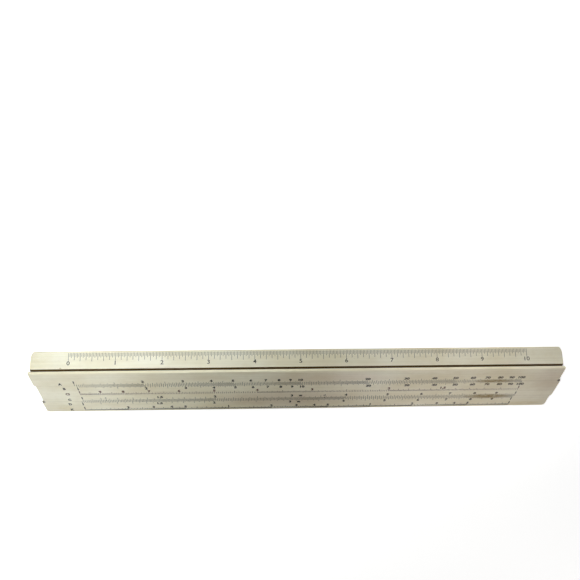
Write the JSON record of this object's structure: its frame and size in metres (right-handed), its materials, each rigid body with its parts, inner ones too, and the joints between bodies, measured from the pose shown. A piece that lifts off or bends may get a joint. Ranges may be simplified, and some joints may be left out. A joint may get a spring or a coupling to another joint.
{
  "type": "slide rule",
  "caption": "Ten-inch slide rule with a bevelled ruler edge: a laminated stock of two rails and a tongued slide that runs between them; no cursor.",
  "frame": {"origin": "centre of the underside of the stock, on the surface that the rule lies on", "axes": "+X along the scales towards their larger numbers, +Y across the face towards the bevelled edge, +Z out of the face"},
  "size_m": [0.296, 0.0396, 0.011],
  "materials": {
    "face_celluloid": "aged satin celluloid",
    "edge_celluloid": "aged satin celluloid",
    "back_celluloid": "aged satin celluloid",
    "bamboo": "laminated bamboo, oiled",
    "spring_metal": "rolled sheet",
    "brass": "drawn wire",
    "clear_window": "clear, slightly yellowed",
    "black_ink": "ink in engraved lines",
    "red_ink": "ink in engraved lines"
  },
  "bodies": {
    "stock": {"upper_rail_bottom_lamina": "bamboo", "upper_rail_middle_lamina": "bamboo", "upper_rail_top_lamina": "bamboo", "lower_rail_bottom_lamina": "bamboo", "lower_rail_middle_lamina": "bamboo", "lower_rail_top_lamina": "bamboo", "bevel_wedge": "bamboo", "base_lower_half": "bamboo", "base_upper_half": "bamboo", "spring_strip": "spring_metal", "spring_strip_brads": "brass", "well_liner": "back_celluloid", "upper_face": "face_celluloid", "lower_face": "face_celluloid", "bevel_face": "edge_celluloid", "lower_edge_face": "edge_celluloid", "back_cover": "back_celluloid", "left_back_window": "clear_window", "right_back_window": "clear_window", "left_window_pins": "brass", "right_window_pins": "brass"},
    "slide": {"slide_bottom_lamina": "bamboo", "slide_tongue_lamina": "bamboo", "slide_top_lamina": "bamboo", "slide_face": "face_celluloid", "slide_back": "back_celluloid"}
  },
  "joints": [
    {"name": "slide_travel", "type": "slide", "parent": "stock", "child": "slide", "axis": [1, 0, 0], "range_m": [-0.251, 0.249]}
  ]
}
